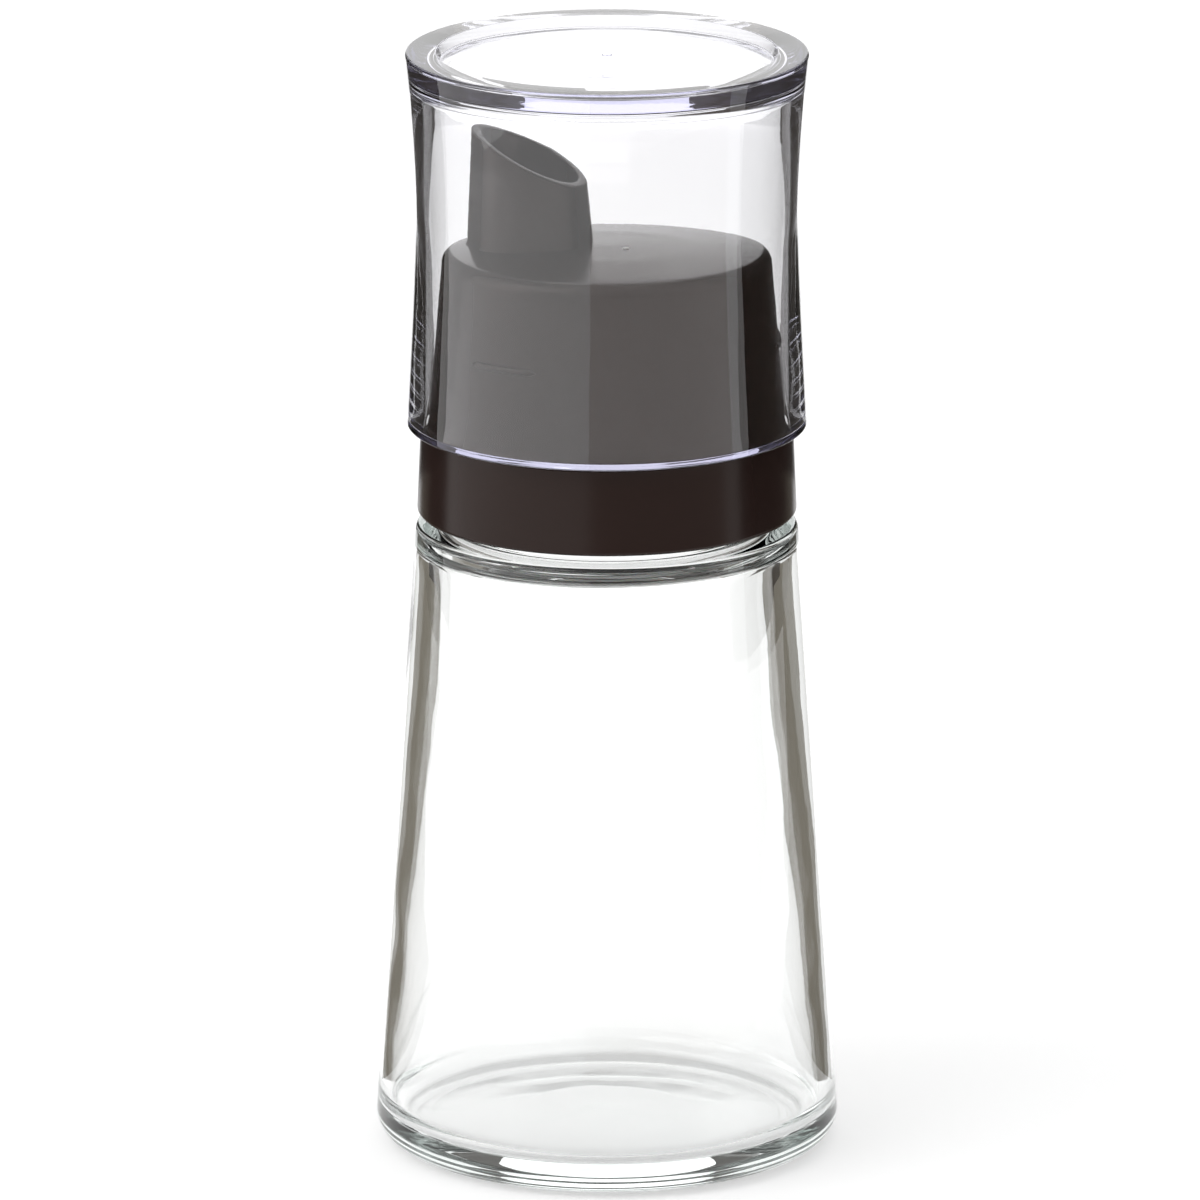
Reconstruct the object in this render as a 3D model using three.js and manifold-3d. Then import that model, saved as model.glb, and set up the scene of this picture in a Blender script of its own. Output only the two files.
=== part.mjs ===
// A condiment container: a tapered glass bottle, a screw-on pouring lid with its gasket, and a clear cap.
// Millimetres, +Z up. The origin is the centre of the bottle's standing face. The spout is on the -X side.
import * as THREE from 'three';
import { mergeVertices } from 'three/addons/utils/BufferGeometryUtils.js';
import Module from 'manifold-3d';

// Bottle
const BASE_RADIUS = 29; // the widest place, at the top of the heel
const SHOULDER_HEIGHT = 79.3;
const GLASS_WALL = 2.7;
const FLOOR_THICKNESS = 4;
const FLOOR_CROWN = 0.4;
const HEEL_ROUND = 4;
const INNER_HEEL_ROUND = 4;
const SHOULDER_ROUND = 1.2;
const INNER_SHOULDER_ROUND = 1.8;
const STANDING_RING = 3; // width of the flat ring that touches the table
const PUNT_DEPTH = 1.1; // hollow under the floor, inside the standing ring

// Neck and thread, shared by the bottle and the lid
const NECK_RADIUS = 19.4;
const NECK_HEIGHT = 13.2;
const NECK_WALL = 2.9;
const NECK_FOOT_ROUND = 0.8;
const RIM_ROUND = 0.9;
const THREAD_PITCH = 4.2;
const THREAD_DEPTH = 1;
const THREAD_ROOT_SHARE = 0.48; // width of the ridge at its root, as a share of the pitch
const THREAD_CREST_SHARE = 0.22;
const THREAD_START = 4.6; // lowest turn of the bottle's ridge above the shoulder
const THREAD_TOP_GAP = 2.4; // highest turn below the rim
const THREAD_LEAD_IN = 1.5; // lowest turn of the lid's ridge above the lid's lower edge
const THREAD_FADE = 45; // degrees over which each end of a ridge grows to its full depth
const THREAD_SINK = 0.3; // how deep a ridge is rooted in its wall
const THREAD_CLEARANCE = 0.35; // between a crest and the wall it faces
const FLANK_GAP = 0.3; // between the flanks that carry the lid

// Gasket
const GASKET_THICKNESS = 1.4;
const GASKET_LIP = 0.2; // how far the gasket stays back from the bore of the neck
const SEAT_GAP = 0.3; // between pieces that seat on each other

// Lid
const LID_GAP = 1.45; // lower edge of the lid above the shoulder
const RING_WALL = 2.9; // grip ring, at its lower edge
const RING_HEIGHT = 10.85;
const RING_DRAFT = 0.47; // radius lost over the height of the grip ring
const RING_LOWER_ROUND = 0.6;
const RING_UPPER_ROUND = 0.3;
const SHOULDER_LIP = 0.15; // how far the bottle's shoulder stands out past the grip ring
const LEDGE_WIDTH = 0.65; // ledge that carries the cap
const DOME_HEIGHT = 22.5; // from the ledge to the edge of the top
const DOME_TAPER = 2.1; // radius lost over that height
const DOME_ROUND = 1.8;
const DOME_CROWN = 1.1;
const TOP_PLATE = 1.8;
const SLEEVE_WALL = 1.4; // inner tube that presses on the gasket
const SLEEVE_DRAFT = 0.3;
const GROOVE_TIP = 0.9; // width of the hollow round the sleeve at its closed end
const RIB_COUNT = 3; // short ribs that hold the cap upright
const RIB_ANGLE = 25; // degrees
const RIB_FIRST = 252; // degrees, counter-clockwise from +X
const RIB_HEIGHT = 11.4; // above the ledge
const RIB_WIDTH = 0.9;
const RIB_PROUD = 0.4;

// Spout
const SPOUT_OFFSET = 10;
const SPOUT_RADIUS = 7.85; // at its foot
const SPOUT_DRAFT = 0.68; // radius lost from the foot to the middle of the mouth
const SPOUT_WALL = 1.25;
const SPOUT_LENGTH = 11.7; // from the top of the lid to the middle of the mouth
const SPOUT_CUT = 29.6; // degrees, slope of the mouth
const SPOUT_FOOT_ROUND = 0.8;
const POUR_HOLE_RADIUS = 2.4;
const AIR_HOLE_RADIUS = 1.2;
const HOLE_MARGIN = 1; // between a hole and the wall of the spout

// Cap
const CAP_CLEARANCE = 0.35; // round the dome, at the ledge
const CAP_FOOT_WALL = 2;
const CAP_WAIST = 1.21; // radius lost from the foot to the waist
const CAP_WAIST_HEIGHT = 26.1; // above the foot
const CAP_FLARE = 1.31; // radius gained from the waist to the top
const CAP_LOWER_CURVE = 1.25; // powers of the height that the wall follows below and above its waist
const CAP_UPPER_CURVE = 1.7;
const CAP_BORE_DRAFT = 0.3;
const CAP_HEADROOM = 5.2; // between the tip of the spout and the roof
const CAP_ROOF = 1.6;
const CAP_ROOF_CROWN = 0.8;
const CAP_ROOF_ROUND = 2;
const CAP_RIM_WIDTH = 3.8; // flat ring round the recess in the top
const CAP_RECESS_DEPTH = 1.3;
const CAP_FOOT_ROUND = 0.3;
const CAP_LEAD_IN_WIDTH = 0.9; // bevel inside the foot
const CAP_LEAD_IN_HEIGHT = 0.6;
const CAP_RIM_ROUND = 0.35;

// How finely round forms are divided
const TURN_STEPS = 48;
const HOLE_STEPS = 20;
const CURVE_STEPS = 8;
const RIB_STEPS = 5;
const ARC_FINENESS = 1.2;
const MERGE_DISTANCE = 1e-4;
const WHOLE_SIDE = 0.98; // most of a straight side that one round takes up
const SHARED_SIDE = 0.48; // most of a side that it takes up where the next corner is round too
const CROWN_HALFWAY = 0.75; // height of a crown halfway out from its middle, as on a parabola

// Heights and radii that follow from the sizes above
const rimHeight = SHOULDER_HEIGHT + NECK_HEIGHT;
const neckBore = NECK_RADIUS - NECK_WALL;
const lidBore = NECK_RADIUS + THREAD_DEPTH + THREAD_CLEARANCE;
const lidFoot = SHOULDER_HEIGHT + LID_GAP;
const ringRadius = lidBore + RING_WALL;
const ledgeHeight = lidFoot + RING_HEIGHT;
const ledgeRadius = ringRadius - RING_DRAFT;
const domeRadius = ledgeRadius - LEDGE_WIDTH;
const domeEdge = ledgeHeight + DOME_HEIGHT;
const domeTop = domeEdge + DOME_CROWN;
const gasketFoot = rimHeight + SEAT_GAP;
const sleeveFoot = gasketFoot + GASKET_THICKNESS + SEAT_GAP;
const mouthHeight = domeTop + SPOUT_LENGTH;
const mouthSlope = Math.tan(THREE.MathUtils.degToRad(SPOUT_CUT));
const tipHeight = mouthHeight + mouthSlope * (SPOUT_RADIUS - SPOUT_DRAFT);
const capFoot = ledgeHeight + SEAT_GAP;
const capBore = domeRadius + CAP_CLEARANCE;

const wasm = await Module();
wasm.setup();

// A closed geometry as a solid that can be joined and cut.
function solidOf(geometry) {
  const bare = geometry.clone();
  bare.deleteAttribute('normal');
  bare.deleteAttribute('uv');
  const merged = mergeVertices(bare, MERGE_DISTANCE);
  const vertProperties = merged.getAttribute('position').array;
  const triVerts = Uint32Array.from(merged.index.array);
  return new wasm.Manifold(new wasm.Mesh({ numProp: 3, vertProperties, triVerts }));
}

// A solid back as a geometry.
function geometryOf(solid) {
  const { vertProperties, triVerts } = solid.getMesh();
  const geometry = new THREE.BufferGeometry();
  geometry.setAttribute('position', new THREE.BufferAttribute(vertProperties, 3));
  geometry.setIndex(new THREE.BufferAttribute(triVerts, 1));
  geometry.computeVertexNormals();
  return geometry;
}

// The points of an outline given by its corners [radius, height, round], each round limited by its sides.
function roundedOutline(corners) {
  const places = corners.map(([radius, height]) => new THREE.Vector2(radius, height));
  return places.flatMap((corner, i) => {
    const round = corners[i][2] ?? 0;
    if (round === 0) {
      return [corner];
    }
    const nextIndex = (i + 1) % places.length;
    const back = places.at(i - 1).clone().sub(corner);
    const on = places[nextIndex].clone().sub(corner);
    const backRoom = back.length() * (corners.at(i - 1)[2] ? SHARED_SIDE : WHOLE_SIDE);
    const onRoom = on.length() * (corners[nextIndex][2] ? SHARED_SIDE : WHOLE_SIDE);
    const halfAngle = Math.acos(back.dot(on) / (back.length() * on.length())) / 2;
    const reach = Math.min(round / Math.tan(halfAngle), backRoom, onRoom);
    const radius = reach * Math.tan(halfAngle);
    back.normalize();
    on.normalize();
    const middle = back.clone().add(on).normalize();
    const centre = middle.clone().multiplyScalar(radius / Math.sin(halfAngle)).add(corner);
    const sweep = Math.PI - 2 * halfAngle;
    const turn = Math.sign(back.cross(on)) * sweep;
    const steps = Math.max(2, Math.round(sweep * Math.sqrt(radius) * ARC_FINENESS));
    const start = back.multiplyScalar(reach).add(corner);
    return Array.from({ length: steps + 1 }, (_, step) =>
      start.clone().rotateAround(centre, (-turn * step) / steps));
  });
}

// A body turned round the Z axis from an outline that starts and ends on the axis, or closes on itself.
function turned(corners, steps = TURN_STEPS) {
  const points = roundedOutline(corners);
  if (points[0].x > 0) {
    points.push(points[0].clone());
  }
  return new THREE.LatheGeometry(points, steps).rotateX(Math.PI / 2);
}

// A screw ridge between two heights, from a wall to a crest, that rises one pitch each turn from its phase.
function threadRidge(wallRadius, crestRadius, from, to, phase) {
  const rootHalf = (THREAD_PITCH * THREAD_ROOT_SHARE) / 2;
  const crestHalf = (THREAD_PITCH * THREAD_CREST_SHARE) / 2;
  const sunkRadius = wallRadius - Math.sign(crestRadius - wallRadius) * THREAD_SINK;
  const steps = Math.ceil(((to - from) / THREAD_PITCH) * TURN_STEPS);
  const fadeSteps = (TURN_STEPS * THREAD_FADE) / 360;
  const positions = [];
  const triangles = [];
  for (let step = 0; step <= steps; step += 1) {
    const height = from + ((to - from) * step) / steps;
    const angle = ((height - phase) / THREAD_PITCH) * 2 * Math.PI;
    const grown = Math.min(1, (Math.min(step, steps - step) + 1) / fadeSteps);
    const outer = wallRadius + (crestRadius - wallRadius) * grown;
    const rootEdges = [[sunkRadius, -rootHalf], [sunkRadius, rootHalf]];
    const crestEdges = [[outer, -crestHalf], [outer, crestHalf]];
    const section = [rootEdges[0], ...crestEdges, rootEdges[1]];
    section.forEach(([radius, offset]) =>
      positions.push(radius * Math.cos(angle), radius * Math.sin(angle), height + offset));
  }
  const quad = (a, b, c, d) => triangles.push(a, b, c, a, c, d);
  for (let first = 0; first < steps * 4; first += 4) {
    for (let side = 0; side < 4; side += 1) {
      const next = (side + 1) % 4;
      quad(first + side, first + 4 + side, first + 4 + next, first + next);
    }
  }
  quad(0, 1, 2, 3);
  quad(steps * 4 + 3, steps * 4 + 2, steps * 4 + 1, steps * 4);
  if (crestRadius < wallRadius) {
    triangles.reverse();
  }
  const geometry = new THREE.BufferGeometry();
  geometry.setAttribute('position', new THREE.Float32BufferAttribute(positions, 3));
  return geometry.setIndex(triangles);
}

const threadPhase = SHOULDER_HEIGHT + THREAD_START;
const threadTop = rimHeight - THREAD_TOP_GAP;
const ridgeWidth = (THREAD_PITCH * (THREAD_ROOT_SHARE + THREAD_CREST_SHARE)) / 2;
const lidThreadDrop = ridgeWidth + FLANK_GAP; // the lid's ridge runs this far under the bottle's

function glassBottle() {
  const shoulderRadius = ringRadius + SHOULDER_LIP;
  const slope = (BASE_RADIUS - shoulderRadius) / (SHOULDER_HEIGHT - HEEL_ROUND);
  const outerRadius = (height) => BASE_RADIUS - slope * (height - HEEL_ROUND);
  const innerRadius = (height) => outerRadius(height) - GLASS_WALL;
  const innerShoulder = SHOULDER_HEIGHT - GLASS_WALL;
  const standingRadius = BASE_RADIUS - HEEL_ROUND;
  const body = turned([
    [0, PUNT_DEPTH],
    [(standingRadius - STANDING_RING) / 2, PUNT_DEPTH * CROWN_HALFWAY],
    [standingRadius - STANDING_RING, 0],
    [outerRadius(0), 0, HEEL_ROUND],
    [shoulderRadius, SHOULDER_HEIGHT, SHOULDER_ROUND],
    [NECK_RADIUS, SHOULDER_HEIGHT, NECK_FOOT_ROUND],
    [NECK_RADIUS, rimHeight, RIM_ROUND],
    [neckBore, rimHeight, RIM_ROUND],
    [neckBore, innerShoulder, INNER_SHOULDER_ROUND],
    [innerRadius(innerShoulder), innerShoulder, INNER_SHOULDER_ROUND],
    [innerRadius(FLOOR_THICKNESS), FLOOR_THICKNESS, INNER_HEEL_ROUND],
    [0, FLOOR_THICKNESS + FLOOR_CROWN],
  ]);
  const thread = threadRidge(NECK_RADIUS, NECK_RADIUS + THREAD_DEPTH, threadPhase, threadTop, threadPhase);
  return geometryOf(solidOf(body).add(solidOf(thread)));
}

function lidGasket() {
  const inner = neckBore + GASKET_LIP;
  const outer = lidBore - SEAT_GAP;
  const top = gasketFoot + GASKET_THICKNESS;
  return turned([[inner, gasketFoot], [outer, gasketFoot], [outer, top], [inner, top]]);
}

// The spout's tube, the bore that hollows it and the block that cuts its slanted mouth.
function spoutTools() {
  const draftSlope = SPOUT_DRAFT / SPOUT_LENGTH;
  const blankTop = tipHeight + SPOUT_WALL;
  const boreTop = blankTop + SPOUT_WALL;
  const radiusAt = (height) => SPOUT_RADIUS - draftSlope * (height - domeTop);
  const boreAt = (height) => radiusAt(height) - SPOUT_WALL;
  const sunk = domeEdge - TOP_PLATE / 2;
  const collar = SPOUT_RADIUS + SPOUT_FOOT_ROUND;
  const tube = turned([
    [0, sunk],
    [collar, sunk],
    [collar, domeEdge],
    [radiusAt(domeEdge), domeEdge, SPOUT_FOOT_ROUND],
    [radiusAt(blankTop), blankTop],
    [0, blankTop],
  ], TURN_STEPS / 2);
  const bore = turned([
    [0, domeEdge],
    [boreAt(domeEdge), domeEdge, SPOUT_FOOT_ROUND],
    [boreAt(boreTop), boreTop],
    [0, boreTop],
  ], TURN_STEPS / 2);
  const blockSize = 4 * SPOUT_RADIUS;
  const mouth = new THREE.BoxGeometry(blockSize, blockSize, blockSize);
  mouth.translate(0, 0, blockSize / 2);
  mouth.rotateY(THREE.MathUtils.degToRad(SPOUT_CUT));
  mouth.translate(0, 0, mouthHeight);
  return [tube, bore, mouth].map((tool) => solidOf(tool.translate(-SPOUT_OFFSET, 0, 0)));
}

// A round hole through the top of the lid, in the foot of the spout.
function footHole(radius, x) {
  const drill = new THREE.CylinderGeometry(radius, radius, 4 * TOP_PLATE, HOLE_STEPS);
  return solidOf(drill.rotateX(Math.PI / 2).translate(x, 0, domeEdge));
}

// One short rib on the dome, centred at an angle.
function capRib(angle) {
  const wallRadius = domeRadius - (DOME_TAPER * RIB_HEIGHT) / DOME_HEIGHT;
  const half = THREE.MathUtils.degToRad(RIB_ANGLE) / 2;
  const outline = new THREE.Shape();
  outline.absarc(0, 0, wallRadius + RIB_PROUD, angle - half, angle + half);
  outline.absarc(0, 0, wallRadius - RIB_PROUD, angle + half, angle - half, true);
  const band = { depth: RIB_WIDTH, bevelEnabled: false, curveSegments: RIB_STEPS };
  const rib = new THREE.ExtrudeGeometry(outline, band);
  return solidOf(rib.translate(0, 0, ledgeHeight + RIB_HEIGHT - RIB_WIDTH / 2));
}

function pourerLid() {
  const plateUnder = domeEdge - TOP_PLATE;
  const sleeveOuter = neckBore + SLEEVE_WALL;
  const domeEdgeRadius = domeRadius - DOME_TAPER;
  const shell = turned([
    [0, plateUnder],
    [neckBore - SLEEVE_DRAFT, plateUnder],
    [neckBore, sleeveFoot],
    [sleeveOuter, sleeveFoot],
    [sleeveOuter, plateUnder],
    [sleeveOuter + GROOVE_TIP, plateUnder],
    [lidBore, sleeveFoot],
    [lidBore, lidFoot],
    [ringRadius, lidFoot, RING_LOWER_ROUND],
    [ledgeRadius, ledgeHeight, RING_UPPER_ROUND],
    [domeRadius, ledgeHeight],
    [domeEdgeRadius, domeEdge, DOME_ROUND],
    [domeEdgeRadius / 2, domeEdge + DOME_CROWN * CROWN_HALFWAY],
    [0, domeTop],
  ]);
  const thread = threadRidge(lidBore, lidBore - THREAD_DEPTH, lidFoot + THREAD_LEAD_IN,
    threadTop - lidThreadDrop, threadPhase - lidThreadDrop);
  const [tube, bore, mouth] = spoutTools();
  const holeReach = SPOUT_RADIUS - SPOUT_WALL - HOLE_MARGIN;
  const pourHole = footHole(POUR_HOLE_RADIUS, -SPOUT_OFFSET - holeReach + POUR_HOLE_RADIUS);
  const airHole = footHole(AIR_HOLE_RADIUS, -SPOUT_OFFSET + holeReach - AIR_HOLE_RADIUS);
  let lid = solidOf(shell).add(solidOf(thread)).add(tube);
  for (const tool of [bore, mouth, pourHole, airHole]) {
    lid = lid.subtract(tool);
  }
  for (let rib = 0; rib < RIB_COUNT; rib += 1) {
    lid = lid.add(capRib(THREE.MathUtils.degToRad(RIB_FIRST + (360 * rib) / RIB_COUNT)));
  }
  return geometryOf(lid);
}

// The cap narrows from its foot to a waist and flares out again to its rim.
function clearCap() {
  const roofUnder = tipHeight + CAP_HEADROOM;
  const floorHeight = roofUnder + CAP_ROOF;
  const top = floorHeight + CAP_RECESS_DEPTH;
  const footRadius = capBore + CAP_FOOT_WALL;
  const waistRadius = footRadius - CAP_WAIST;
  const waistHeight = capFoot + CAP_WAIST_HEIGHT;
  const rimRadius = waistRadius + CAP_FLARE;
  const recessRadius = rimRadius - CAP_RIM_WIDTH;
  const outerRadius = (height) => (height < waistHeight
    ? waistRadius + CAP_WAIST * ((waistHeight - height) / CAP_WAIST_HEIGHT) ** CAP_LOWER_CURVE
    : waistRadius + CAP_FLARE * ((height - waistHeight) / (top - waistHeight)) ** CAP_UPPER_CURVE);
  const wall = Array.from({ length: CURVE_STEPS - 1 }, (_, step) => {
    const height = capFoot + ((top - capFoot) * (step + 1)) / CURVE_STEPS;
    return [outerRadius(height), height];
  });
  return turned([
    [0, roofUnder + CAP_ROOF_CROWN],
    [(capBore - CAP_BORE_DRAFT) / 2, roofUnder + CAP_ROOF_CROWN * CROWN_HALFWAY],
    [capBore - CAP_BORE_DRAFT, roofUnder, CAP_ROOF_ROUND],
    [capBore, capFoot + CAP_LEAD_IN_HEIGHT],
    [capBore + CAP_LEAD_IN_WIDTH, capFoot],
    [footRadius, capFoot, CAP_FOOT_ROUND],
    ...wall,
    [rimRadius, top, CAP_RIM_ROUND],
    [recessRadius, top, CAP_RIM_ROUND / 2],
    [recessRadius - CAP_RECESS_DEPTH, floorHeight, CAP_RIM_ROUND],
    [(recessRadius - CAP_RECESS_DEPTH) / 2, floorHeight + CAP_ROOF_CROWN * CROWN_HALFWAY],
    [0, floorHeight + CAP_ROOF_CROWN],
  ]);
}

const container = new THREE.Group();

function addPiece(name, geometry, finish) {
  const piece = new THREE.Mesh(geometry, new THREE.MeshStandardMaterial(finish));
  piece.name = name;
  container.add(piece);
}

addPiece('glass_bottle', glassBottle(),
  { color: 0xe6f0ec, roughness: 0.03, metalness: 0, transparent: true, opacity: 0.3 });
addPiece('lid_gasket', lidGasket(), { color: 0xe8e6df, roughness: 0.55, metalness: 0 });
addPiece('pourer_lid', pourerLid(), { color: 0x2b2626, roughness: 0.42, metalness: 0 });
addPiece('clear_cap', clearCap(),
  { color: 0xeeeef6, roughness: 0.04, metalness: 0, transparent: true, opacity: 0.25 });

export default container;
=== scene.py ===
import math

import bmesh
import bpy
from mathutils import Matrix, Vector


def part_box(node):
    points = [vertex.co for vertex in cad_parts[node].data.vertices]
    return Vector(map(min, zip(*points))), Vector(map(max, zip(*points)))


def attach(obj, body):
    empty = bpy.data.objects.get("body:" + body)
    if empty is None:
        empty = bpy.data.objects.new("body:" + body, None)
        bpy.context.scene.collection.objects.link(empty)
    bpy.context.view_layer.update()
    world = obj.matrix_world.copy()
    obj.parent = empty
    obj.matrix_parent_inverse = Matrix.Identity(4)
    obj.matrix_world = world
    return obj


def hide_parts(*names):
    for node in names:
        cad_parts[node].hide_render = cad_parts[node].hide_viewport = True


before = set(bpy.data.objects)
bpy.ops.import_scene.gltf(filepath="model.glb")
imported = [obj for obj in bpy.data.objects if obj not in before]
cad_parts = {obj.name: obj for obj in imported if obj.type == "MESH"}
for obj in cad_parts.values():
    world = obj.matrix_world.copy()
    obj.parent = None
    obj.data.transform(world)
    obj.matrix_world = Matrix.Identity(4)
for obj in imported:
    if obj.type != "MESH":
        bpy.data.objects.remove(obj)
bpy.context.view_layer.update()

# Glass bottle
# The body of clear soda-lime glass, blown into a mould, so its outside is true and its inside a little wavy.
# It stands on a narrow ring, tapers to a flat shoulder, and carries the lid on a short threaded neck.
bottle_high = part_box("glass_bottle")[1]
lid_low, lid_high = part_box("pourer_lid")
base_radius = bottle_high.x
rim_height = bottle_high.z
lid_radius = lid_high.x
SHOULDER_HEIGHT = 0.0793
SHOULDER_LIP = 0.00015
SHOULDER_WALL = 0.0032
SHOULDER_TOP = 0.0025
SHOULDER_ROUND = 0.0008
UPPER_WALL = 0.0033
UPPER_WALL_END = 0.054
LOWER_WALL = 0.0025
LOWER_WALL_START = 0.030
WALL_ROUND = 0.3
FOOT_WALL = 0.0021
CORE_SHIFT = 0.0003
WAVE_HEIGHT = 0.0003
WAVE_SIZE = 0.03
WAVE_DETAIL = 1.0
FLOOR = 0.0033
FLOOR_CROWN = 0.0004
HEEL_ROUND = 0.004
INNER_HEEL_ROUND = 0.003
INNER_ROUND = 0.0014
STANDING_RING = 0.003
STANDING_ROUND = 0.002
PUNT = 0.0005
PUNT_ROUND = 0.03
CROWN_HALFWAY = 0.75
NECK_RADIUS = 0.0194
NECK_BORE = 0.0165
NECK_FOOT_ROUND = 0.0008
BORE_ROUND = 0.0005
RIM_ROUND = 0.0009
THREAD_PITCH = 0.0042
THREAD_DEPTH = 0.001
THREAD_ROOT = 0.0020
THREAD_CREST = 0.0009
THREAD_START = 0.0046
THREAD_TOP_GAP = 0.0024
THREAD_RUN_OUT = 0.012
THREAD_TIP = 0.05
THREAD_SINK = 0.3
THREAD_STEPS = 80
TURN_STEPS = 160
ARC_STEPS = 10
LONGEST_SIDE = 0.0025
MOST_OF_SIDE = 0.49
RAIL_RADIUS = 0.01
WELD_DISTANCE = 1e-6
SHARP_EDGE = math.radians(34)
PATTERN_DETAIL = {"Grain": 2.0, "Ripple": 1.0, "Smudge": 4.0}
GLASS_PATTERN_SIZES = (0.0012, 0.011, 0.02)
GLASS_IOR = 1.52
GLASS_TINTS = ((1, 1, 1, 1), (0.985, 0.99, 0.986, 1))
GLASS_ROUGHNESS = (0.0, 0.02)
GLASS_RIPPLE_DEPTH = 0.00007
GLASS_GRAIN_DEPTH = 0.0000015
GLASS_GREEN = (0.62, 0.94, 0.84, 1)
GLASS_GREEN_DENSITY = 2.5


def rounded(corners, closed=False):
    """The points of an outline given by its corners (radius, height, round), with long sides divided."""
    places = [Vector(corner[:2]) for corner in corners]
    points = []
    for index, corner in enumerate(places):
        bend = corners[index][2]
        if bend == 0:
            points.append(corner)
            continue
        back = places[index - 1] - corner
        ahead = places[(index + 1) % len(places)] - corner
        half = back.angle(ahead) / 2
        reach = min(bend / math.tan(half), back.length * MOST_OF_SIDE, ahead.length * MOST_OF_SIDE)
        radius = reach * math.tan(half)
        inward = (back.normalized() + ahead.normalized()).normalized()
        centre = corner + inward * (radius / math.sin(half))
        first = corner + back.normalized() * reach - centre
        sweep = math.pi - 2 * half
        turn = math.copysign(sweep, ahead.cross(back))
        for step in range(ARC_STEPS + 1):
            points.append(centre + Matrix.Rotation(turn * step / ARC_STEPS, 2) @ first)
    ends = points[1:] + points[:1] if closed else points[1:]
    fine = []
    for here, there in zip(points, ends):
        pieces = max(1, math.ceil((there - here).length / LONGEST_SIDE))
        fine += [here.lerp(there, piece / pieces) for piece in range(pieces)]
    return fine if closed else fine + points[-1:]


def add_node(tree, kind, inputs=None, **settings):
    """A node of a tree. An input is a value or the socket that feeds it."""
    node = tree.nodes.new(kind)
    for name, value in settings.items():
        setattr(node, name, value)
    for name, value in (inputs or {}).items():
        if isinstance(value, bpy.types.NodeSocket):
            tree.links.new(value, node.inputs[name])
        else:
            node.inputs[name].default_value = value
    return node


def maths(tree, operation, first, second=0.0):
    """The result of one sum in a tree."""
    return add_node(tree, "ShaderNodeMath", {0: first, 1: second}, operation=operation).outputs[0]


def vector_maths(tree, operation, inputs):
    """The result of one sum with vectors: a number for a dot product or a distance, else a vector."""
    node = add_node(tree, "ShaderNodeVectorMath", inputs, operation=operation)
    return node.outputs["Value" if operation in ("DOT_PRODUCT", "DISTANCE") else "Vector"]


def new_tree(name, inputs):
    """An empty geometry tree that takes a shape and named values, and its group input's sockets."""
    tree = bpy.data.node_groups.new(name, "GeometryNodeTree")
    tree.interface.new_socket("Shape", in_out="INPUT", socket_type="NodeSocketGeometry")
    for label, kind in inputs:
        tree.interface.new_socket(label, in_out="INPUT", socket_type="NodeSocket" + kind)
    tree.interface.new_socket("Shape", in_out="OUTPUT", socket_type="NodeSocketGeometry")
    return tree, tree.nodes.new("NodeGroupInput").outputs


def end_tree(tree, shape, material):
    """The closing nodes of a geometry tree: real geometry with its material."""
    real = add_node(tree, "GeometryNodeRealizeInstances", {"Geometry": shape}).outputs[0]
    painted = add_node(tree, "GeometryNodeSetMaterial", {"Geometry": real, "Material": material}).outputs[0]
    add_node(tree, "NodeGroupOutput", {0: painted})


def shape_by(piece, tree, values):
    """Gives a piece the plain mesh that a geometry tree makes of it."""
    change = piece.modifiers.new(tree.name, "NODES")
    change.node_group = tree
    for socket in tree.interface.items_tree:
        if socket.name in values:
            change[socket.identifier] = values[socket.name]
    evaluated = piece.evaluated_get(bpy.context.evaluated_depsgraph_get())
    mesh = bpy.data.meshes.new_from_object(evaluated)
    piece.modifiers.remove(change)
    piece.data = mesh


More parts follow.
